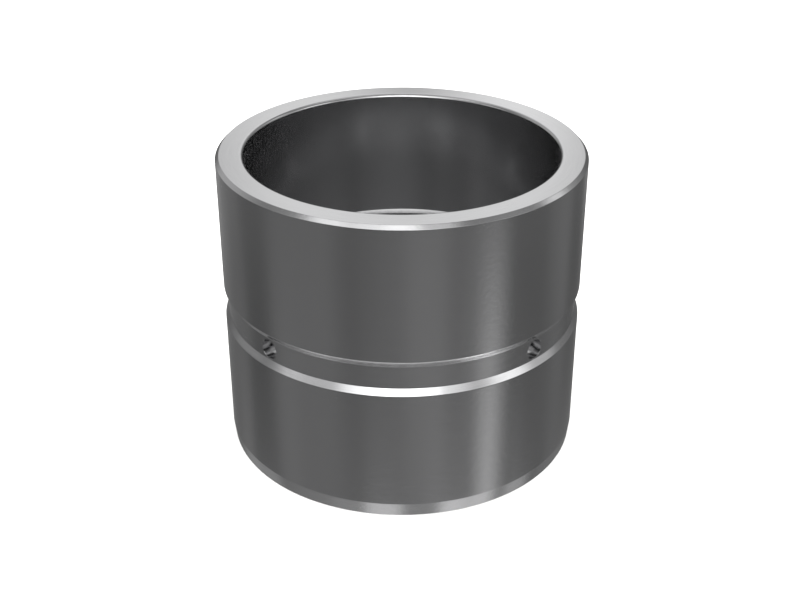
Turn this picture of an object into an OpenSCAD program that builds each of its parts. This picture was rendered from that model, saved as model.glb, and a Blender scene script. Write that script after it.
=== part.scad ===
/* [Sleeve] */
// Bore diameter, the running surface for the pin
bore_diameter = 85; // [60:1:110]
// Wall between the bore and the outside
wall = 7.5; // [6:0.5:12]
// Length of the sleeve along its axis
sleeve_length = 85; // [50:1:140]

/* [End edges] */
// Size of the 45 degree chamfer round the top outer edge
top_chamfer = 0.95; // [0.5:0.05:2]
// Height of the slim lead-in taper round the bottom outer edge
lead_in_height = 3.9; // [2:0.1:8]
// How far the lead-in taper draws in at the bottom face
lead_in_depth = 0.45; // [0.2:0.05:1.2]
// Radius of the rounded bore edge at both ends
bore_edge_radius = 1; // [0.4:0.1:2]

/* [Grease grooves] */
// Width of a groove across its mouth
groove_width = 10; // [8:0.5:16]
// Depth of a groove below the surface that it is cut in
groove_depth = 1.05; // [0.5:0.05:1.8]
// Slope of a groove's flanks to the sleeve's axis, in degrees
flank_slope = 30; // [25:1:60]
// Width of the small bevel that breaks a groove's sharp lips
lip_bevel = 0.15; // [0.05:0.05:0.4]
// How far the middle of both grooves lies above the sleeve's mid-length
groove_offset = 0.15; // [0:0.05:1]

/* [Oil holes] */
// Diameter of each radial hole between the two grooves
oil_hole_diameter = 5.5; // [3:0.5:8]
// Number of radial holes, evenly spaced round the sleeve
oil_hole_count = 4; // [2:1:8]
// Angle of the first hole from the +X axis, in degrees
first_hole_angle = 45; // [0:5:90]

/* [Hidden] */

bore_radius = bore_diameter / 2;
outer_radius = bore_radius + wall;
hole_height = sleeve_length / 2;
groove_height = hole_height + groove_offset;
hole_pitch = 360 / oil_hole_count;
// How far a cut runs past the surface that it opens
cut_margin = 1;
$fn = 180;

// Half of the sleeve cut along its axis, with its outer edges shaped and its bore edges still square
module plain_wall_section() {
    polygon([
        [bore_radius, 0],
        [outer_radius - lead_in_depth, 0],
        [outer_radius, lead_in_height],
        [outer_radius, sleeve_length - top_chamfer],
        [outer_radius - top_chamfer, sleeve_length],
        [bore_radius, sleeve_length]
    ]);
}

// What a rounding of the given radius takes off a square corner that stands at the origin
module corner_waste(radius) {
    difference() {
        translate([-cut_margin, -cut_margin]) square(radius + cut_margin);
        translate([radius, radius]) circle(radius);
    }
}

// What a groove takes out of a wall that fills the side below x = 0, mouth centred on the origin
module groove_waste() {
    mouth = groove_width / 2;
    floor_half = mouth - groove_depth / tan(flank_slope);
    bevel_in = lip_bevel * sin(flank_slope);
    bevel_down = lip_bevel * cos(flank_slope);
    polygon([
        [cut_margin, mouth + lip_bevel],
        [0, mouth + lip_bevel],
        [-bevel_in, mouth - bevel_down],
        [-groove_depth, floor_half],
        [-groove_depth, -floor_half],
        [-bevel_in, bevel_down - mouth],
        [0, -mouth - lip_bevel],
        [cut_margin, -mouth - lip_bevel]
    ]);
}

module sleeve_section() {
    difference() {
        plain_wall_section();
        translate([bore_radius, 0]) corner_waste(bore_edge_radius);
        translate([bore_radius, sleeve_length]) mirror([0, 1]) corner_waste(bore_edge_radius);
        translate([outer_radius, groove_height]) groove_waste();
        translate([bore_radius, groove_height]) mirror([1, 0]) groove_waste();
    }
}

// Straight drillings from the outer groove's floor to the inner groove's floor
module oil_holes() {
    for (i = [0 : oil_hole_count - 1])
        rotate([0, 0, first_hole_angle + i * hole_pitch])
            translate([bore_radius - cut_margin, 0, hole_height])
                rotate([0, 90, 0])
                    cylinder(h = wall + 2 * cut_margin, d = oil_hole_diameter);
}

module sleeve() {
    color("#8a8d90")
    difference() {
        rotate_extrude() sleeve_section();
        oil_holes();
    }
}

sleeve();
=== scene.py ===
"""Studio scene of a steel sleeve bearing with a grease groove outside, another in the bore and oil holes.

The sleeve is turned from one piece of bearing steel: its section is laid out corner by corner from the
named sizes, swept round the axis and drilled, all in one Geometry Nodes tree. Every length is given in
millimetres and turned to metres where it meets Blender. The axis is +Z, the lead-in end stands on z = 0.
"""

from __future__ import annotations

import logging
import math
from dataclasses import dataclass, field
from enum import Enum

import bpy
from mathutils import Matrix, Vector


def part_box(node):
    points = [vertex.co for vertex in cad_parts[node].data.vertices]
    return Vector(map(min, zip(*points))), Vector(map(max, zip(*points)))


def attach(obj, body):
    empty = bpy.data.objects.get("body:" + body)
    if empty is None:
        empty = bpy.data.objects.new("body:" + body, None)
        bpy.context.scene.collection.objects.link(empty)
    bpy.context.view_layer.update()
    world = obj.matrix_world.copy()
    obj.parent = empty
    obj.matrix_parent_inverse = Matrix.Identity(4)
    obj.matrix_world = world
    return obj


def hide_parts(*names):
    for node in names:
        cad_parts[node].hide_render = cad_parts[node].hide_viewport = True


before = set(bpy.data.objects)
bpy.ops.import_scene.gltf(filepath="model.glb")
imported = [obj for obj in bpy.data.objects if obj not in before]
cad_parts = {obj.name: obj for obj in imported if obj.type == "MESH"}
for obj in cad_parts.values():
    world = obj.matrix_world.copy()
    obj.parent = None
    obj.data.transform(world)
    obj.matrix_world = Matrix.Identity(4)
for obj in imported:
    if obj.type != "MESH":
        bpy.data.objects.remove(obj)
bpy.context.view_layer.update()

MM = 0.001
# Corners closer together than this, in mm, are one corner: drilling leaves a few such pairs
WELD = 0.0005
# Edges that bend by more than this, in degrees, are shaded sharp
CREASE = 30
# A face whose normal has a larger upright part than this belongs to an end of the sleeve
END_FACING = 0.9
# Most of a noise texture's values lie between these two
NOISE_LOW = 0.3
NOISE_HIGH = 0.7
# Share by which the roughness of the steel wavers with its mottle
GLOSS_SPREAD = 0.06
log = logging.getLogger("sleeve")

# Kinds of node that the trees use most
MATH = "ShaderNodeMath"
VECTOR_MATH = "ShaderNodeVectorMath"
INTEGER_MATH = "FunctionNodeIntegerMath"
COMBINE = "ShaderNodeCombineXYZ"
SEPARATE = "ShaderNodeSeparateXYZ"
MAP_RANGE = "ShaderNodeMapRange"


def linear(hex_colour: str) -> tuple[float, float, float, float]:
    """Turn an sRGB hex colour into the linear colour that Blender's sockets take.

    Args:
        hex_colour: Colour as "#rrggbb".

    Returns:
        Linear red, green, blue and an alpha of 1.
    """
    parts = [int(hex_colour[i : i + 2], 16) / 255 for i in (1, 3, 5)]
    red, green, blue = (p / 12.92 if p <= 0.04045 else ((p + 0.055) / 1.055) ** 2.4 for p in parts)
    return red, green, blue, 1.0


def add_node(
    tree: bpy.types.NodeTree,
    kind: str,
    settings: dict[str, object] | None = None,
    inputs: dict[int | str, object] | None = None,
) -> bpy.types.Node:
    """Add one node to a tree with its settings and its links.

    Args:
        tree: Tree that takes the node.
        kind: Blender's type name of the node.
        settings: Values of the node's own properties.
        inputs: For each input, by number or name, a value or the output socket that feeds it.

    Returns:
        The new node.
    """
    node = tree.nodes.new(kind)
    for name, value in (settings or {}).items():
        setattr(node, name, value)
    for key, value in (inputs or {}).items():
        if isinstance(value, bpy.types.NodeSocket):
            tree.links.new(value, node.inputs[key])
        else:
            node.inputs[key].default_value = value
    return node


class Size(Enum):
    """Named lengths that the sleeve's node tree takes, all in metres."""

    BORE = "Bore radius"
    OUTSIDE = "Outside radius"
    LENGTH = "Sleeve length"
    CHAMFER = "Top chamfer"
    LEAD_IN_HEIGHT = "Lead-in height"
    LEAD_IN_DEPTH = "Lead-in depth"
    GROOVE_HEIGHT = "Groove height"
    GROOVE_MOUTH = "Groove half mouth"
    GROOVE_FLOOR = "Groove half floor"
    GROOVE_DEPTH = "Groove depth"
    BORE_EDGE = "Bore edge rounding"
    EDGE_BREAK = "Turned edge rounding"
    LEAD_IN_BLEND = "Lead-in blend rounding"
    LIP = "Groove lip rounding"
    ROOT = "Groove root rounding"
    SHOULDER = "Shoulder beside a rounding"
    HOLE_HEIGHT = "Oil hole height"
    HOLE = "Oil hole radius"
    HOLE_BREAK = "Oil hole edge break"


class Count(Enum):
    """Named whole numbers that the tree takes."""

    SEGMENTS = "Segments round the axis"
    ARC_STEPS = "Steps round a rounding"
    HOLES = "Oil holes"
    HOLE_FACETS = "Facets round an oil hole"


# The tree's input for the angle of the first oil hole from +X, in radians
FIRST_HOLE = "First hole angle"


class Surface(Enum):
    """The surfaces that are finished each in their own way, and the tree's material inputs."""

    OUTSIDE = "Ground outside"
    ENDS = "Faced ends"
    BORE = "Honed bore"
    GROOVES = "Turned grooves"
    HOLES = "Drilled walls"


@dataclass(frozen=True)
class Place:
    """A distance along one direction: one named size, with another one added or taken off.

    Attributes:
        start: Size that the distance starts from, or None for zero.
        step: Size that is added, or None.
        sign: 1 to add the step and -1 to take it off.
    """

    start: Size | None
    step: Size | None = None
    sign: int = 1


@dataclass(frozen=True)
class Corner:
    """One corner of the sleeve's half section.

    Attributes:
        radius: Distance from the axis.
        height: Distance above the bottom face.
        rounding: Radius that the corner is rounded with.
    """

    radius: Place
    height: Place
    rounding: Size


# Radii and heights that several corners of the section share
AT_BORE = Place(Size.BORE)
AT_OUTSIDE = Place(Size.OUTSIDE)
INNER_FLOOR = Place(Size.BORE, Size.GROOVE_DEPTH)
OUTER_FLOOR = Place(Size.OUTSIDE, Size.GROOVE_DEPTH, -1)
AT_BOTTOM = Place(None)
AT_TOP = Place(Size.LENGTH)
MOUTH_LOW = Place(Size.GROOVE_HEIGHT, Size.GROOVE_MOUTH, -1)
MOUTH_HIGH = Place(Size.GROOVE_HEIGHT, Size.GROOVE_MOUTH)
FLOOR_LOW = Place(Size.GROOVE_HEIGHT, Size.GROOVE_FLOOR, -1)
FLOOR_HIGH = Place(Size.GROOVE_HEIGHT, Size.GROOVE_FLOOR)

# The half section, out along the bottom face, up the outside, in along the top face and down the bore
SECTION: tuple[Corner, ...] = (
    Corner(AT_BORE, AT_BOTTOM, Size.BORE_EDGE),
    Corner(Place(Size.OUTSIDE, Size.LEAD_IN_DEPTH, -1), AT_BOTTOM, Size.EDGE_BREAK),
    Corner(AT_OUTSIDE, Place(Size.LEAD_IN_HEIGHT), Size.LEAD_IN_BLEND),
    Corner(AT_OUTSIDE, MOUTH_LOW, Size.LIP),
    Corner(OUTER_FLOOR, FLOOR_LOW, Size.ROOT),
    Corner(OUTER_FLOOR, FLOOR_HIGH, Size.ROOT),
    Corner(AT_OUTSIDE, MOUTH_HIGH, Size.LIP),
    Corner(AT_OUTSIDE, Place(Size.LENGTH, Size.CHAMFER, -1), Size.EDGE_BREAK),
    Corner(Place(Size.OUTSIDE, Size.CHAMFER, -1), AT_TOP, Size.EDGE_BREAK),
    Corner(AT_BORE, AT_TOP, Size.BORE_EDGE),
    Corner(AT_BORE, MOUTH_HIGH, Size.LIP),
    Corner(INNER_FLOOR, FLOOR_HIGH, Size.ROOT),
    Corner(INNER_FLOOR, FLOOR_LOW, Size.ROOT),
    Corner(AT_BORE, MOUTH_LOW, Size.LIP),
)


class Lay(Enum):
    """Which way the tool moved, and so what the fine marks follow."""

    ALONG_AXIS = "rings stacked along the axis, as on an outside or a bore"
    ACROSS_FACE = "rings within one another, as on a faced end"


@dataclass(frozen=True)
class SteelFinish:
    """How one surface of the hardened bearing steel was finished.

    Attributes:
        name: Material name.
        colour: sRGB hex colour of the bare metal.
        roughness: Roughness of the surface between its marks.
        lay: What the tool marks follow.
        mark_pitch: Distance between the marks, in mm.
        mark_length: Length over which one mark fades in and out round the axis, in mm.
        mark_height: Height of the marks, in mm.
        grain_size: Size of the soft mottle under the marks, in mm.
        grain_height: Height of that mottle, in mm.
        shade: Share by which the marks lighten and darken the metal.
    """

    name: str
    colour: str
    roughness: float
    lay: Lay
    mark_pitch: float
    mark_length: float
    mark_height: float
    grain_size: float
    grain_height: float
    shade: float

    def material(self) -> bpy.types.Material:
        """Build the finish as a node material on Object coordinates.

        Returns:
            The material.
        """
        made = bpy.data.materials.new(self.name)
        made.use_nodes = True
        made.diffuse_color = linear(self.colour)
        tree = made.node_tree
        tree.nodes.clear()
        place = add_node(tree, "ShaderNodeTexCoord")
        metres = add_node(tree, SEPARATE, inputs={0: place.outputs["Object"]})
        flat = add_node(tree, COMBINE, inputs={0: metres.outputs[0], 1: metres.outputs[1]})
        distance = add_node(tree, VECTOR_MATH, {"operation": "LENGTH"}, {0: flat.outputs[0]})
        across = metres.outputs[2] if self.lay is Lay.ALONG_AXIS else distance.outputs["Value"]
        # Noise that is squeezed to the pitch across the marks and drawn out along them
        rows = add_node(
            tree, MATH, {"operation": "MULTIPLY"}, {0: across, 1: 1 / (self.mark_pitch * MM)}
        )
        run = add_node(
            tree,
            VECTOR_MATH,
            {"operation": "SCALE"},
            {0: flat.outputs[0], "Scale": 1 / (self.mark_length * MM)},
        )
        along = add_node(tree, SEPARATE, inputs={0: run.outputs[0]})
        stretched = add_node(
            tree, COMBINE, inputs={0: along.outputs[0], 1: along.outputs[1], 2: rows.outputs[0]}
        )
        marks = add_node(
            tree,
            "ShaderNodeTexNoise",
            inputs={"Vector": stretched.outputs[0], "Scale": 1.0, "Detail": 2.0, "Roughness": 0.6},
        )
        grain = add_node(
            tree,
            "ShaderNodeTexNoise",
            inputs={
                "Vector": place.outputs["Object"],
                "Scale": 1 / (self.grain_size * MM),
                "Detail": 3.0,
                "Roughness": 0.55,
            },
        )
        tone = add_node(
            tree,
            MAP_RANGE,
            inputs={
                "Value": marks.outputs[0],
                "From Min": NOISE_LOW,
                "From Max": NOISE_HIGH,
                "To Min": 1 - self.shade,
                "To Max": 1 + self.shade,
            },
        )
        tint = add_node(
            tree,
            VECTOR_MATH,
            {"operation": "SCALE"},
            {0: linear(self.colour)[:3], "Scale": tone.outputs[0]},
        )
        gloss = add_node(
            tree,
            MAP_RANGE,
            inputs={
                "Value": grain.outputs[0],
                "From Min": NOISE_LOW,
                "From Max": NOISE_HIGH,
                "To Min": self.roughness * (1 - GLOSS_SPREAD),
                "To Max": self.roughness * (1 + GLOSS_SPREAD),
            },
        )
        soft = add_node(
            tree,
            "ShaderNodeBump",
            inputs={"Height": grain.outputs[0], "Distance": self.grain_height * MM, "Strength": 1.0},
        )
        fine = add_node(
            tree,
            "ShaderNodeBump",
            inputs={
                "Height": marks.outputs[0],
                "Distance": self.mark_height * MM,
                "Strength": 1.0,
                "Normal": soft.outputs[0],
            },
        )
        metal = add_node(
            tree,
            "ShaderNodeBsdfPrincipled",
            inputs={
                "Base Color": tint.outputs[0],
                "Metallic": 1.0,
                "Roughness": gloss.outputs[0],
                "Normal": fine.outputs[0],
            },
        )
        add_node(tree, "ShaderNodeOutputMaterial", inputs={"Surface": metal.outputs[0]})
        return made


# Hardened bearing steel is a neutral light grey where it is bare. The real tool marks are far finer
# than a pixel, so each finish draws them coarser than they are, and faint
STEEL_GREY = "#c3c3c4"
# Ground to size outside: a soft satin gloss with a faint mottle in its broad highlights
GROUND_OUTSIDE = SteelFinish(
    name="ground_bearing_steel",
    colour=STEEL_GREY,
    roughness=0.17,
    lay=Lay.ALONG_AXIS,
    mark_pitch=0.6,
    mark_length=9.0,
    mark_height=0.0004,
    grain_size=1.2,
    grain_height=0.016,
    shade=0.01,
)
# Honed in the bore: a duller and very even sheen
HONED_BORE = SteelFinish(
    name="honed_bearing_steel",
    colour=STEEL_GREY,
    roughness=0.2,
    lay=Lay.ALONG_AXIS,
    mark_pitch=0.6,
    mark_length=6.0,
    mark_height=0.0004,
    grain_size=2.0,
    grain_height=0.0004,
    shade=0.02,
)
# Faced and lapped at the ends: the glossiest surface, with faint rings round the bore
FACED_END = SteelFinish(
    name="faced_bearing_steel",
    colour=STEEL_GREY,
    roughness=0.14,
    lay=Lay.ACROSS_FACE,
    mark_pitch=0.6,
    mark_length=9.0,
    mark_height=0.0004,
    grain_size=1.2,
    grain_height=0.0004,
    shade=0.02,
)
# Turned and not ground in the grooves: a soft gloss, and marks that show a little more
TURNED_GROOVE = SteelFinish(
    name="turned_bearing_steel",
    colour=STEEL_GREY,
    roughness=0.21,
    lay=Lay.ALONG_AXIS,
    mark_pitch=0.5,
    mark_length=12.0,
    mark_height=0.0004,
    grain_size=1.6,
    grain_height=0.0004,
    shade=0.03,
)
# Drilled through the wall: the holes' sides keep the drill's feed marks
DRILLED_WALL = SteelFinish(
    name="drilled_bearing_steel",
    colour=STEEL_GREY,
    roughness=0.17,
    lay=Lay.ACROSS_FACE,
    mark_pitch=0.4,
    mark_length=3.0,
    mark_height=0.001,
    grain_size=0.8,
    grain_height=0.0006,
    shade=0.04,
)


@dataclass
class Sleeve:
    """The bearing's one piece: a thick steel tube with two grease grooves and its oil holes.

    Attributes:
        bore_diameter: Running surface for the pin, in mm.
        outside_radius: Outside radius, in mm.
        length: Length along the axis, in mm.
        top_chamfer: Size of the 45 degree chamfer round the top outer edge, in mm.
        lead_in_height: Height of the slim taper round the bottom outer edge, in mm.
        lead_in_depth: How far that taper draws in, in mm.
        bore_edge: Radius of the rounded bore edges, in mm.
        edge_break: Radius of the other turned edges, in mm.
        lead_in_blend: Radius that blends the lead-in taper into the outside, in mm.
        lip_rounding: Radius of a groove's lips, in mm.
        root_rounding: Radius between a groove's floor and its flanks, in mm.
        shoulder: Width of the narrow flat laid on each side of a rounding, in mm.
        groove_offset: How far the grooves' middle lies above mid-length, in mm.
        groove_width: Width of a groove across its mouth, in mm.
        groove_depth: Depth of a groove, in mm.
        flank_slope: Slope of a groove's flanks to the axis, in degrees.
        hole_diameter: Diameter of an oil hole, in mm.
        hole_break: Depth of the small countersink that breaks an oil hole's edge, in mm.
        hole_count: Number of oil holes, evenly spaced.
        first_hole_angle: Angle of the first hole from +X, in degrees.
        hole_facets: Facets round an oil hole.
        segments: Facets round the axis.
        arc_steps: Facets along each rounding of the section.
        finishes: Finish of each surface.
    """

    bore_diameter: float = 85.0
    outside_radius: float = 50.0
    length: float = 85.0
    top_chamfer: float = 0.95
    lead_in_height: float = 3.9
    lead_in_depth: float = 0.45
    bore_edge: float = 0.9
    edge_break: float = 0.12
    lead_in_blend: float = 1.2
    lip_rounding: float = 0.3
    root_rounding: float = 0.1
    shoulder: float = 0.15
    groove_offset: float = 0.15
    groove_width: float = 10.0
    groove_depth: float = 1.05
    flank_slope: float = 30.0
    hole_diameter: float = 5.5
    hole_break: float = 0.07
    hole_count: int = 4
    first_hole_angle: float = 45.0
    hole_facets: int = 96
    segments: int = 480
    arc_steps: int = 6
    finishes: dict[Surface, SteelFinish] = field(
        default_factory=lambda: {
            Surface.OUTSIDE: GROUND_OUTSIDE,
            Surface.ENDS: FACED_END,
            Surface.BORE: HONED_BORE,
            Surface.GROOVES: TURNED_GROOVE,
            Surface.HOLES: DRILLED_WALL,
        }
    )

    def lengths(self) -> dict[Size, float]:
        """Give every named length of the node tree, in millimetres.

        Returns:
            Length for each name.
        """
        mouth = self.groove_width / 2
        return {
            Size.BORE: self.bore_diameter / 2,
            Size.OUTSIDE: self.outside_radius,
            Size.LENGTH: self.length,
            Size.CHAMFER: self.top_chamfer,
            Size.LEAD_IN_HEIGHT: self.lead_in_height,
            Size.LEAD_IN_DEPTH: self.lead_in_depth,
            Size.GROOVE_HEIGHT: self.length / 2 + self.groove_offset,
            Size.GROOVE_MOUTH: mouth,
            Size.GROOVE_FLOOR: mouth - self.groove_depth / math.tan(math.radians(self.flank_slope)),
            Size.GROOVE_DEPTH: self.groove_depth,
            Size.BORE_EDGE: self.bore_edge,
            Size.EDGE_BREAK: self.edge_break,
            Size.LEAD_IN_BLEND: self.lead_in_blend,
            Size.LIP: self.lip_rounding,
            Size.ROOT: self.root_rounding,
            Size.SHOULDER: self.shoulder,
            Size.HOLE_HEIGHT: self.length / 2,
            Size.HOLE: self.hole_diameter / 2,
            Size.HOLE_BREAK: self.hole_break,
        }

    def section(self, tree: bpy.types.NodeTree, sizes: bpy.types.Node) -> bpy.types.NodeSocket:
        """Lay out the rounded half section as a closed curve, radius along X and height along Y.

        Args:
            tree: Tree that takes the nodes.
            sizes: The tree's input node.

        Returns:
            Socket with the curve, its radii measured from the path that sweeps it.
        """
        count = len(SECTION)
        places = add_node(tree, "GeometryNodeIndexSwitch", {"data_type": "VECTOR"})
        roundings = add_node(tree, "GeometryNodeIndexSwitch", {"data_type": "FLOAT"})
        for switch in (places, roundings):
            while len(switch.index_switch_items) < count:
                switch.index_switch_items.new()
        for number, corner in enumerate(SECTION):
            spots = []
            for place in (corner.radius, corner.height):
                spot = add_node(
                    tree,
                    MATH,
                    {"operation": "MULTIPLY_ADD"},
                    {
                        0: sizes.outputs[place.step.value] if place.step else 0.0,
                        1: float(place.sign),
                        2: sizes.outputs[place.start.value] if place.start else 0.0,
                    },
                )
                spots.append(spot.outputs[0])
            point = add_node(tree, COMBINE, inputs={0: spots[0], 1: spots[1]})
            tree.links.new(point.outputs[0], places.inputs[1 + number])
            tree.links.new(sizes.outputs[corner.rounding.value], roundings.inputs[1 + number])

        # One point for each corner, from which the points beside it are found
        index = add_node(tree, "GeometryNodeInputIndex").outputs[0]
        tree.links.new(index, places.inputs["Index"])
        corners = add_node(
            tree, "GeometryNodePoints", inputs={"Count": count, "Position": places.outputs[0]}
        )

        # Three points for each corner: a shoulder before it, the corner and a shoulder after it
        own = add_node(tree, INTEGER_MATH, {"operation": "DIVIDE_FLOOR"}, {0: index, 1: 3}).outputs[0]
        turn = add_node(tree, INTEGER_MATH, {"operation": "MODULO"}, {0: index, 1: 3}).outputs[0]
        side = add_node(tree, INTEGER_MATH, {"operation": "SUBTRACT"}, {0: turn, 1: 1}).outputs[0]
        ahead = add_node(tree, INTEGER_MATH, {"operation": "ADD"}, {0: own, 1: side}).outputs[0]
        wrapped = add_node(tree, INTEGER_MATH, {"operation": "ADD"}, {0: ahead, 1: count}).outputs[0]
        beside = add_node(
            tree, INTEGER_MATH, {"operation": "MODULO"}, {0: wrapped, 1: count}
        ).outputs[0]
        where = add_node(tree, "GeometryNodeInputPosition").outputs[0]
        here, there = (
            add_node(
                tree,
                "GeometryNodeSampleIndex",
                {"data_type": "FLOAT_VECTOR"},
                {"Geometry": corners.outputs[0], "Value": where, "Index": number},
            ).outputs[0]
            for number in (own, beside)
        )
        tree.links.new(own, roundings.inputs["Index"])
        gap = add_node(tree, VECTOR_MATH, {"operation": "SUBTRACT"}, {0: there, 1: here})
        heading = add_node(tree, VECTOR_MATH, {"operation": "NORMALIZE"}, {0: gap.outputs[0]})
        reach = add_node(
            tree,
            MATH,
            {"operation": "ADD"},
            {0: roundings.outputs[0], 1: sizes.outputs[Size.SHOULDER.value]},
        )
        spot = add_node(
            tree,
            VECTOR_MATH,
            {"operation": "MULTIPLY_ADD"},
            {0: heading.outputs[0], 1: reach.outputs[0], 2: here},
        )
        # The sweep stands the curve on the bore's circle and points its Y down
        centre = add_node(
            tree, MATH, {"operation": "MULTIPLY"}, {0: sizes.outputs[Size.BORE.value], 1: -1.0}
        )
        inward = add_node(tree, COMBINE, inputs={0: centre.outputs[0]})
        moved = add_node(
            tree,
            VECTOR_MATH,
            {"operation": "MULTIPLY_ADD"},
            {0: spot.outputs[0], 1: (1.0, -1.0, 1.0), 2: inward.outputs[0]},
        )
        outline = add_node(
            tree, "GeometryNodePoints", inputs={"Count": 3 * count, "Position": moved.outputs[0]}
        )
        at_corner = add_node(
            tree, "FunctionNodeCompare", {"data_type": "INT", "operation": "EQUAL"}, {2: side, 3: 0}
        )
        radius = add_node(
            tree, MATH, {"operation": "MULTIPLY"}, {0: roundings.outputs[0], 1: at_corner.outputs[0]}
        )
        kept = add_node(tree, "GeometryNodeCaptureAttribute")
        kept.capture_items.new("FLOAT", "Rounding")
        tree.links.new(outline.outputs[0], kept.inputs["Geometry"])
        tree.links.new(radius.outputs[0], kept.inputs["Rounding"])
        curve = add_node(
            tree, "GeometryNodePointsToCurves", inputs={"Points": kept.outputs["Geometry"]}
        )
        closed = add_node(
            tree, "GeometryNodeSetSplineCyclic", inputs={0: curve.outputs[0], "Cyclic": True}
        )
        rounded = add_node(
            tree,
            "GeometryNodeFilletCurve",
            {"mode": "POLY"},
            {
                "Curve": closed.outputs[0],
                "Count": sizes.outputs[Count.ARC_STEPS.value],
                "Radius": kept.outputs["Rounding"],
                "Limit Radius": True,
            },
        )
        return rounded.outputs[0]

    def drills(self, tree: bpy.types.NodeTree, sizes: bpy.types.Node) -> list[bpy.types.NodeSocket]:
        """Set a drill in the middle of the wall for each oil hole, and a countersink at its mouth.

        Args:
            tree: Tree that takes the nodes.
            sizes: The tree's input node.

        Returns:
            Sockets with the tools as real geometry, one for each kind.
        """
        wall = add_node(
            tree,
            MATH,
            {"operation": "SUBTRACT"},
            {0: sizes.outputs[Size.OUTSIDE.value], 1: sizes.outputs[Size.BORE.value]},
        )
        middle = add_node(
            tree,
            MATH,
            {"operation": "MULTIPLY_ADD"},
            {0: wall.outputs[0], 1: 0.5, 2: sizes.outputs[Size.BORE.value]},
        )
        drill = add_node(
            tree,
            "GeometryNodeMeshCylinder",
            {"fill_type": "NGON"},
            {
                "Vertices": sizes.outputs[Count.HOLE_FACETS.value],
                "Radius": sizes.outputs[Size.HOLE.value],
                "Depth": wall.outputs[0],
            },
        )
        # The countersink's cone is as wide as the drill one edge break below the groove's floor
        floor = add_node(
            tree,
            MATH,
            {"operation": "SUBTRACT"},
            {0: sizes.outputs[Size.OUTSIDE.value], 1: sizes.outputs[Size.GROOVE_DEPTH.value]},
        )
        tip = add_node(
            tree,
            MATH,
            {"operation": "SUBTRACT"},
            {0: floor.outputs[0], 1: sizes.outputs[Size.HOLE_BREAK.value]},
        )
        widest = add_node(
            tree,
            MATH,
            {"operation": "ADD"},
            {0: sizes.outputs[Size.HOLE.value], 1: sizes.outputs[Size.GROOVE_DEPTH.value]},
        )
        countersink = add_node(
            tree,
            "GeometryNodeMeshCone",
            {"fill_type": "NGON"},
            {
                "Vertices": sizes.outputs[Count.HOLE_FACETS.value],
                "Radius Top": widest.outputs[0],
                "Radius Bottom": sizes.outputs[Size.HOLE.value],
                "Depth": sizes.outputs[Size.GROOVE_DEPTH.value],
            },
        )
        return [
            self.around_axis(tree, sizes, tool.outputs[0], radius.outputs[0])
            for tool, radius in ((drill, middle), (countersink, tip))
        ]

    def around_axis(
        self,
        tree: bpy.types.NodeTree,
        sizes: bpy.types.Node,
        tool: bpy.types.NodeSocket,
        radius: bpy.types.NodeSocket,
    ) -> bpy.types.NodeSocket:
        """Stand one tool at every oil hole, pointing out from the axis.

        Args:
            tree: Tree that takes the nodes.
            sizes: The tree's input node.
            tool: Socket with the tool's mesh, its own axis along Z.
            radius: Distance of the tool's origin from the sleeve's axis.

        Returns:
            Socket with the tools as real geometry.
        """
        ring = add_node(
            tree,
            "GeometryNodeMeshCircle",
            inputs={"Vertices": sizes.outputs[Count.HOLES.value], "Radius": radius},
        )
        outward = add_node(
            tree,
            "FunctionNodeAlignRotationToVector",
            {"axis": "Z"},
            {"Vector": add_node(tree, "GeometryNodeInputPosition").outputs[0]},
        )
        placed = add_node(
            tree,
            "GeometryNodeInstanceOnPoints",
            inputs={
                "Points": ring.outputs[0],
                "Instance": tool,
                "Rotation": outward.outputs[0],
            },
        )
        turn = add_node(tree, COMBINE, inputs={2: sizes.outputs[FIRST_HOLE]})
        lift = add_node(tree, COMBINE, inputs={2: sizes.outputs[Size.HOLE_HEIGHT.value]})
        real = add_node(tree, "GeometryNodeRealizeInstances", inputs={"Geometry": placed.outputs[0]})
        turned = add_node(
            tree,
            "GeometryNodeTransform",
            inputs={
                "Geometry": real.outputs[0],
                "Rotation": turn.outputs[0],
                "Translation": lift.outputs[0],
            },
        )
        return turned.outputs[0]

    def tree(self) -> bpy.types.GeometryNodeTree:
        """Build the node tree that sweeps the section round the axis and drills it.

        Returns:
            The tree, with a named input for each size.
        """
        tree = bpy.data.node_groups.new("turned_sleeve", "GeometryNodeTree")
        inputs = {size.value: "NodeSocketFloat" for size in Size}
        inputs.update({count.value: "NodeSocketInt" for count in Count})
        inputs[FIRST_HOLE] = "NodeSocketFloat"
        inputs.update({surface.value: "NodeSocketMaterial" for surface in Surface})
        for name, kind in inputs.items():
            tree.interface.new_socket(name, in_out="INPUT", socket_type=kind)
        tree.interface.new_socket("Sleeve", in_out="OUTPUT", socket_type="NodeSocketGeometry")
        sizes = add_node(tree, "NodeGroupInput")

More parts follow.
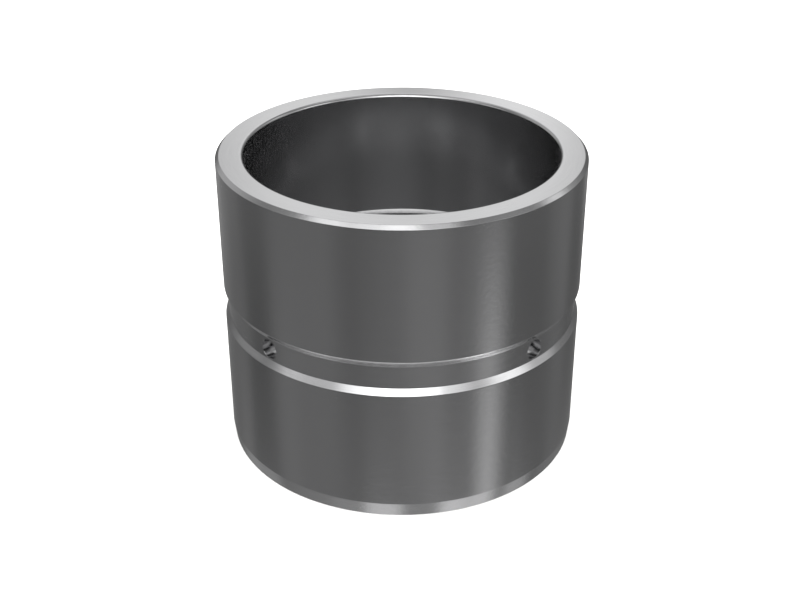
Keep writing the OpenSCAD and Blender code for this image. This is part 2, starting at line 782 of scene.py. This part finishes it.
        path = add_node(
            tree,
            "GeometryNodeCurvePrimitiveCircle",
            {"mode": "RADIUS"},
            {
                "Resolution": sizes.outputs[Count.SEGMENTS.value],
                "Radius": sizes.outputs[Size.BORE.value],
            },
        )
        upright = add_node(
            tree, "GeometryNodeSetCurveNormal", {"mode": "Z_UP"}, {"Curve": path.outputs[0]}
        )
        tube = add_node(
            tree,
            "GeometryNodeCurveToMesh",
            inputs={"Curve": upright.outputs[0], "Profile Curve": self.section(tree, sizes)},
        )
        outward = add_node(tree, "GeometryNodeFlipFaces", inputs={"Mesh": tube.outputs[0]})
        steel = add_node(
            tree,
            "GeometryNodeSetMaterial",
            inputs={"Geometry": outward.outputs[0], "Material": sizes.outputs[Surface.OUTSIDE.value]},
        )
        drilled = add_node(
            tree,
            "GeometryNodeMeshBoolean",
            {"operation": "DIFFERENCE", "solver": "MANIFOLD"},
            {"Mesh 1": steel.outputs[0]},
        )
        for tools in self.drills(tree, sizes):
            tree.links.new(tools, drilled.inputs["Mesh 2"])
        welded = add_node(
            tree,
            "GeometryNodeMergeByDistance",
            inputs={"Geometry": drilled.outputs[0], "Distance": WELD * MM},
        )
        smooth = add_node(
            tree,
            "GeometryNodeSetShadeSmooth",
            {"domain": "FACE"},
            {"Geometry": welded.outputs[0], "Shade Smooth": True},
        )
        bend = add_node(tree, "GeometryNodeInputMeshEdgeAngle")
        crisp = add_node(
            tree,
            "FunctionNodeCompare",
            {"data_type": "FLOAT", "operation": "GREATER_THAN"},
            {0: bend.outputs["Unsigned Angle"], 1: math.radians(CREASE)},
        )
        sharp = add_node(
            tree,
            "GeometryNodeSetShadeSmooth",
            {"domain": "EDGE"},
            {
                "Geometry": smooth.outputs[0],
                "Selection": crisp.outputs[0],
                "Shade Smooth": False,
            },
        )
        real = add_node(tree, "GeometryNodeRealizeInstances", inputs={"Geometry": sharp.outputs[0]})
        dressed = self.dress(tree, sizes, real.outputs[0])
        add_node(tree, "NodeGroupOutput", inputs={"Sleeve": dressed})
        return tree

    def dress(
        self,
        tree: bpy.types.NodeTree,
        sizes: bpy.types.Node,
        bare: bpy.types.NodeSocket,
    ) -> bpy.types.NodeSocket:
        """Give each surface of the sleeve its own finish, told apart by where the surface lies.

        Args:
            tree: Tree that takes the nodes.
            sizes: The tree's input node.
            bare: Socket with the sleeve's mesh.

        Returns:
            Socket with the dressed mesh.
        """
        where = add_node(
            tree, SEPARATE, inputs={0: add_node(tree, "GeometryNodeInputPosition").outputs[0]}
        )
        facing = add_node(
            tree, SEPARATE, inputs={0: add_node(tree, "GeometryNodeInputNormal").outputs[0]}
        )
        flat = add_node(tree, COMBINE, inputs={0: where.outputs[0], 1: where.outputs[1]})
        radius = add_node(
            tree, VECTOR_MATH, {"operation": "LENGTH"}, {0: flat.outputs[0]}
        ).outputs["Value"]
        # The end faces look along the axis, the bore lies nearest to it, the grooves at mid-length
        above = add_node(
            tree,
            MATH,
            {"operation": "SUBTRACT"},
            {0: where.outputs[2], 1: sizes.outputs[Size.GROOVE_HEIGHT.value]},
        )
        from_groove = add_node(tree, MATH, {"operation": "ABSOLUTE"}, {0: above.outputs[0]}).outputs[0]
        upright = add_node(tree, MATH, {"operation": "ABSOLUTE"}, {0: facing.outputs[2]}).outputs[0]
        inner_side = add_node(
            tree,
            MATH,
            {"operation": "ADD"},
            {0: sizes.outputs[Size.BORE.value], 1: sizes.outputs[Size.BORE_EDGE.value]},
        ).outputs[0]
        in_groove = add_node(
            tree,
            MATH,
            {"operation": "LESS_THAN"},
            {0: from_groove, 1: sizes.outputs[Size.GROOVE_MOUTH.value]},
        ).outputs[0]
        is_end = add_node(
            tree, MATH, {"operation": "GREATER_THAN"}, {0: upright, 1: END_FACING}
        ).outputs[0]
        is_bore = add_node(
            tree, MATH, {"operation": "LESS_THAN"}, {0: radius, 1: inner_side}
        ).outputs[0]
        # The walls of the drillings lie between the floors of the two grooves
        floor_out = add_node(
            tree,
            MATH,
            {"operation": "SUBTRACT"},
            {0: sizes.outputs[Size.OUTSIDE.value], 1: sizes.outputs[Size.GROOVE_DEPTH.value]},
        ).outputs[0]
        floor_in = add_node(
            tree,
            MATH,
            {"operation": "ADD"},
            {0: sizes.outputs[Size.BORE.value], 1: sizes.outputs[Size.GROOVE_DEPTH.value]},
        ).outputs[0]
        middle = add_node(tree, MATH, {"operation": "ADD"}, {0: floor_out, 1: floor_in}).outputs[0]
        centre = add_node(tree, MATH, {"operation": "MULTIPLY"}, {0: middle, 1: 0.5}).outputs[0]
        span = add_node(tree, MATH, {"operation": "SUBTRACT"}, {0: floor_out, 1: centre}).outputs[0]
        off = add_node(tree, MATH, {"operation": "SUBTRACT"}, {0: radius, 1: centre}).outputs[0]
        off_centre = add_node(tree, MATH, {"operation": "ABSOLUTE"}, {0: off}).outputs[0]
        inside = add_node(
            tree, MATH, {"operation": "SUBTRACT"}, {0: span, 1: sizes.outputs[Size.HOLE_BREAK.value]}
        ).outputs[0]
        deep = add_node(tree, MATH, {"operation": "LESS_THAN"}, {0: off_centre, 1: inside}).outputs[0]
        is_hole = add_node(tree, MATH, {"operation": "MULTIPLY"}, {0: deep, 1: in_groove}).outputs[0]
        # Later finishes cover earlier ones
        choices: dict[Surface, bpy.types.NodeSocket | bool] = {
            Surface.OUTSIDE: True,
            Surface.ENDS: is_end,
            Surface.BORE: is_bore,
            Surface.GROOVES: in_groove,
            Surface.HOLES: is_hole,
        }
        mesh = bare
        for surface, chosen in choices.items():
            inputs = {"Geometry": mesh, "Material": sizes.outputs[surface.value], "Selection": chosen}
            mesh = add_node(tree, "GeometryNodeSetMaterial", inputs=inputs).outputs[0]
        return mesh

    def build(self) -> bpy.types.Object:
        """Make the sleeve as one plain mesh.

        Returns:
            The finished object, at the origin.
        """
        tree = self.tree()
        values: dict[str, object] = {size.value: v * MM for size, v in self.lengths().items()}
        values[Count.SEGMENTS.value] = self.segments
        values[Count.ARC_STEPS.value] = self.arc_steps
        values[Count.HOLES.value] = self.hole_count
        values[Count.HOLE_FACETS.value] = self.hole_facets
        values[FIRST_HOLE] = math.radians(self.first_hole_angle)
        values.update({surface.value: f.material() for surface, f in self.finishes.items()})
        blank = bpy.data.objects.new("sleeve_blank", bpy.data.meshes.new("sleeve_blank"))
        bpy.context.scene.collection.objects.link(blank)
        modifier = blank.modifiers.new("turning", "NODES")
        modifier.node_group = tree
        for item in tree.interface.items_tree:
            if item.in_out == "INPUT":
                modifier[item.identifier] = values[item.name]
        blank.update_tag()
        shaped = blank.evaluated_get(bpy.context.evaluated_depsgraph_get())
        mesh = bpy.data.meshes.new_from_object(shaped)
        mesh.name = "sleeve_steel"
        blank.modifiers.clear()
        bpy.data.objects.remove(blank)
        piece = bpy.data.objects.new("sleeve_steel", mesh)
        bpy.context.scene.collection.objects.link(piece)
        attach(piece, "root")
        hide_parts("sleeve")
        return piece


@dataclass(frozen=True)
class SoftBox:
    """One soft light of the studio, given by where it stands as seen from the bearing.

    Attributes:
        name: What the light is.
        azimuth: Direction of its middle, from the camera's side towards the right, in degrees.
        elevation: Height of its middle above the horizon, in degrees.
        width: Full width, in degrees of azimuth.
        height: Full height, in degrees of elevation.
        edge: Width over which its edge fades out, in degrees.
        strength: How bright it is. A negative one darkens the lights behind it.
    """

    name: str
    azimuth: float
    elevation: float
    width: float
    height: float
    edge: float
    strength: float


@dataclass
class Studio:
    """Floor, soft lights and backdrop round the bearing.

    Attributes:
        lights: Soft lights that the steel reflects.
        room: Brightness of the dim room between the lights.
        dome: Brightness of the even light that falls on the floor.
        backdrop: sRGB hex colour behind the floor.
        floor_colour: sRGB hex colour of the floor.
        floor_size: Side of the floor, in mm.
    """

    lights: tuple[SoftBox, ...]
    room: float = 0.16
    dome: float = 2.4
    backdrop: str = "#ffffff"
    floor_colour: str = "#e8e8e7"
    floor_size: float = 6000.0

    def light(self) -> None:
        """Build the world: lights for the steel, an even dome for the floor, a pale backdrop."""
        world = bpy.data.worlds.new("soft_studio")
        bpy.context.scene.world = world
        world.use_nodes = True
        # The three sides of the world differ by kind of ray, so none of it is sampled as one lamp
        world.cycles.sampling_method = "NONE"
        tree = world.node_tree
        tree.nodes.clear()
        place = add_node(tree, "ShaderNodeTexCoord")
        ray = add_node(tree, SEPARATE, inputs={0: place.outputs["Generated"]})
        towards = add_node(tree, MATH, {"operation": "MULTIPLY"}, {0: ray.outputs[1], 1: -1.0})
        azimuth = add_node(
            tree, MATH, {"operation": "ARCTAN2"}, {0: ray.outputs[0], 1: towards.outputs[0]}
        ).outputs[0]
        elevation = add_node(tree, MATH, {"operation": "ARCSINE"}, {0: ray.outputs[2]}).outputs[0]
        total: bpy.types.NodeSocket | float = self.room
        for box in self.lights:
            total = self.soft_box(tree, box, azimuth, elevation, total)
        rays = add_node(tree, "ShaderNodeLightPath")
        # The backdrop is a neutral grey or white, so its red stands for all three
        shown = linear(self.backdrop)[0]
        floor_light = add_node(
            tree,
            "ShaderNodeMix",
            {"data_type": "FLOAT"},
            {0: rays.outputs["Is Diffuse Ray"], 2: total, 3: self.dome},
        )
        seen = add_node(
            tree,
            "ShaderNodeMix",
            {"data_type": "FLOAT"},
            {0: rays.outputs["Is Camera Ray"], 2: floor_light.outputs[0], 3: shown},
        )
        glow = add_node(
            tree,
            "ShaderNodeBackground",
            inputs={"Color": (1.0, 1.0, 1.0, 1.0), "Strength": seen.outputs[0]},
        )
        add_node(tree, "ShaderNodeOutputWorld", inputs={"Surface": glow.outputs[0]})

    def soft_box(
        self,
        tree: bpy.types.NodeTree,
        box: SoftBox,
        azimuth: bpy.types.NodeSocket,
        elevation: bpy.types.NodeSocket,
        total: bpy.types.NodeSocket | float,
    ) -> bpy.types.NodeSocket:
        """Add one soft light to the brightness of the world.

        Args:
            tree: The world's tree.
            box: The light.
            azimuth: Azimuth of the ray, in radians.
            elevation: Elevation of the ray, in radians.
            total: Brightness so far.

        Returns:
            Brightness with this light.
        """
        windows = []
        for angle, middle, size in (
            (azimuth, box.azimuth, box.width),
            (elevation, box.elevation, box.height),
        ):
            off = add_node(tree, MATH, {"operation": "SUBTRACT"}, {0: angle, 1: math.radians(middle)})
            wrapped = add_node(
                tree, MATH, {"operation": "WRAP"}, {0: off.outputs[0], 1: math.pi, 2: -math.pi}
            )
            distance = add_node(tree, MATH, {"operation": "ABSOLUTE"}, {0: wrapped.outputs[0]})
            window = add_node(
                tree,
                MAP_RANGE,
                {"interpolation_type": "SMOOTHSTEP"},
                {
                    "Value": distance.outputs[0],
                    "From Min": math.radians((size + box.edge) / 2),
                    "From Max": math.radians((size - box.edge) / 2),
                    "To Min": 0.0,
                    "To Max": 1.0,
                },
            )
            windows.append(window.outputs[0])
        both = add_node(tree, MATH, {"operation": "MULTIPLY"}, {0: windows[0], 1: windows[1]})
        lit = add_node(
            tree, MATH, {"operation": "MULTIPLY_ADD"}, {0: both.outputs[0], 1: box.strength, 2: total}
        )
        return lit.outputs[0]

    def floor(self) -> bpy.types.Object:
        """Lay the plain pale floor that the bearing stands on.

        Returns:
            The floor object.
        """
        half = self.floor_size * MM / 2
        mesh = bpy.data.meshes.new("pale_floor")
        corners = [(-half, -half, 0), (half, -half, 0), (half, half, 0), (-half, half, 0)]
        mesh.from_pydata(corners, [], [(0, 1, 2, 3)])
        ground = bpy.data.objects.new("pale_floor", mesh)
        bpy.context.scene.collection.objects.link(ground)
        # The bearing was photographed over dark surroundings that its sides still reflect
        ground.visible_glossy = False
        paint = bpy.data.materials.new("pale_matt_floor")
        paint.use_nodes = True
        tree = paint.node_tree
        tree.nodes.clear()
        matt = add_node(tree, "ShaderNodeBsdfDiffuse", inputs={"Color": linear(self.floor_colour)})
        add_node(tree, "ShaderNodeOutputMaterial", inputs={"Surface": matt.outputs[0]})
        mesh.materials.append(paint)
        return ground


@dataclass(frozen=True)
class StudioCamera:
    """The camera at the photograph's viewing angle.

    Attributes:
        lens: Focal length, in mm.
        sensor: Width of the sensor, in mm.
        elevation: How far it looks down, in degrees.
        distance: Distance from the point it aims at, in mm.
        aim_height: Height of that point on the bearing's axis, in mm.
        shift: Sideways shift of the frame, in frame widths.
        near: Distance within which nothing is drawn, in mm.
    """

    lens: float = 56.91
    sensor: float = 36.0
    elevation: float = 28.52
    distance: float = 362.2
    aim_height: float = 38.32
    shift: float = -0.0023
    near: float = 10.0

    def set_up(self) -> bpy.types.Object:
        """Put the camera in the scene.

        Returns:
            The camera object.
        """
        data = bpy.data.cameras.new("studio_camera")
        data.sensor_width = self.sensor
        data.lens = self.lens
        data.shift_x = self.shift
        data.clip_start = self.near * MM
        camera = bpy.data.objects.new("studio_camera", data)
        bpy.context.scene.collection.objects.link(camera)
        down = math.radians(self.elevation)
        back = Vector((0.0, -math.cos(down), math.sin(down)))
        camera.location = Vector((0.0, 0.0, self.aim_height * MM)) + back * self.distance * MM
        camera.rotation_euler = (math.pi / 2 - down, 0.0, 0.0)
        bpy.context.scene.camera = camera
        return camera


STUDIO_LIGHTS: tuple[SoftBox, ...] = (
    SoftBox("key, left end", -30, 30, 18, 30, 12, 1.6),
    SoftBox("key, middle", -10, 30, 22, 30, 12, 3.2),
    SoftBox("key, right of the middle", 12, 30, 20, 30, 12, 3.0),
    SoftBox("key, right end", 32, 28, 16, 30, 12, 1.0),
    SoftBox("top panel, left", -61, 56, 34, 18, 18, 1.3),
    SoftBox("top panel, left of the middle", -30, 62, 26, 18, 14, 1.2),
    SoftBox("top panel, middle", 0, 64, 34, 18, 14, 1.65),
    SoftBox("top panel, right", 34, 61, 30, 16, 16, 0.7),
    SoftBox("left panel, far end", -70, 17, 19, 16, 14, 0.78),
    SoftBox("left panel, near end", -51, 20, 18, 16, 12, 0.58),
    SoftBox("right panel, near end", 46, 20, 14, 18, 10, 0.5),
    SoftBox("right panel", 68, 18, 26, 18, 14, 1.65),
    SoftBox("right panel, far end", 91, 9, 26, 12, 14, 0.6),
    SoftBox("back wall", 180, 28, 60, 26, 14, 0.24),
    SoftBox("back wall, bright middle", 180, 28, 19, 28, 9, 0.63),
    SoftBox("back wall, right of the dip", 174, 18, 5, 8, 5, 0.2),
    SoftBox("dip in the back wall", 179.6, 19, 3.5, 8, 4.5, -0.38),
    SoftBox("upper dip, left", -171, 25, 6, 4, 4, -0.09),
    SoftBox("upper dip, right", 175, 25, 4, 4, 4, -0.06),
    SoftBox("ceiling, left", -90, 44, 20, 12, 14, 0.07),
    SoftBox("ceiling, right", 78, 46, 40, 16, 16, 0.09),
    SoftBox("ceiling behind", 180, 68, 140, 22, 16, 0.7),
    SoftBox("ceiling behind, left", -148, 44, 50, 20, 14, 0.35),
    SoftBox("right back panel", 112, 29, 16, 14, 12, 0.7),
    SoftBox("right back panel, glow", 116, 24, 40, 24, 20, 0.16),
    SoftBox("left back panel", -125, 17, 50, 26, 20, 0.28),
    SoftBox("high room", 0, 45, 360, 60, 30, 0.11),
    SoftBox("left horizon", -110, 6, 70, 22, 16, 0.1),
    SoftBox("dark gap, left horizon", -105, 3, 10, 8, 8, -0.1),
    SoftBox("right horizon", 118, 2, 40, 16, 14, 0.1),
    SoftBox("low right streak", 59, -37, 15, 18, 17, 0.43),
    SoftBox("low right streak, inner part", 45, -32, 16, 18, 12, 0.05),
    SoftBox("low right streak, tail", 78, -40, 16, 12, 12, 0.06),
    SoftBox("low right glow", 40, -52, 22, 16, 12, 0.64),
    SoftBox("low right glow, far end", 62, -50, 20, 14, 12, 0.5),
    SoftBox("low front glow", -14, -52, 28, 16, 12, 0.55),
    SoftBox("low front glow, left part", -43, -51, 22, 8, 10, 0.08),
    SoftBox("front haze", 15, -34, 30, 30, 20, 0.08),
    SoftBox("front haze, left part", -9, -27, 12, 8, 10, 0.025),
    SoftBox("low front haze", -14, -39, 20, 10, 12, 0.05),
    SoftBox("low front haze, right", 28, -41, 24, 12, 12, 0.05),
    SoftBox("left haze", -62, -35, 56, 30, 24, 0.04),
    SoftBox("far right glow", 92, -46, 20, 12, 10, 0.3),
    SoftBox("low back haze", 180, -33, 42, 12, 16, 0.1),
    SoftBox("low back haze, upper part", 180, -22, 60, 5, 8, 0.11),
    SoftBox("left back haze", -136, -20, 34, 8, 10, 0.06),
    SoftBox("left back haze, far part", -150, -25, 26, 6, 10, 0.04),
    SoftBox("left back haze, low part", -126, -34, 16, 6, 10, 0.04),
    SoftBox("left haze, low part", -79, -36, 16, 8, 10, 0.025),
    SoftBox("right back haze", 114, -24, 24, 12, 12, 0.04),
    SoftBox("dark gap, left", -103, -30, 24, 9, 13, -0.055),
    SoftBox("dark gap, left of the middle", -35, -28, 16, 10, 12, -0.035),
    SoftBox("dark gap, right", 92, -29, 40, 8, 12, -0.03),
    SoftBox("dark gap, far right", 146, -27, 30, 8, 12, -0.045),
    SoftBox("left back glow", -124, -45, 50, 12, 9, 0.16),
    SoftBox("left back glow, upper part", -132, -40, 20, 6, 8, 0.07),
    SoftBox("right back glow", 134, -40, 44, 8, 8, 0.06),
    SoftBox("low right lamp", 98, -65, 32, 14, 10, 3.4),
    SoftBox("low left lamp", -101, -66, 46, 14, 10, 1.0),
    SoftBox("table glow", 0, -90, 360, 54, 50, 0.85),
    SoftBox("lamp under the table", 0, -90, 360, 30, 20, 0.4),
)


def main() -> None:
    """Build the scene and log the camera's place, the sleeve's faces and materials, and the number of
    lights.
    """
    logging.basicConfig(level=logging.INFO, format="%(name)s: %(message)s")
    bpy.context.scene.view_settings.view_transform = "Standard"
    camera = StudioCamera().set_up()
    log.info("camera %s at %s", camera.name, [round(v, 4) for v in camera.location])
    low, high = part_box("sleeve")
    reach = min(-low.x, -low.y, high.x, high.y) / MM
    sleeve = Sleeve(outside_radius=reach, length=high.z / MM)
    piece = sleeve.build()
    log.info(
        "%s: %d faces, %d materials", piece.name, len(piece.data.polygons), len(piece.data.materials)
    )
    studio = Studio(STUDIO_LIGHTS)
    studio.light()
    ground = studio.floor()
    log.info("%s and %d lights", ground.name, len(studio.lights))


if __name__ == "__main__":
    main()
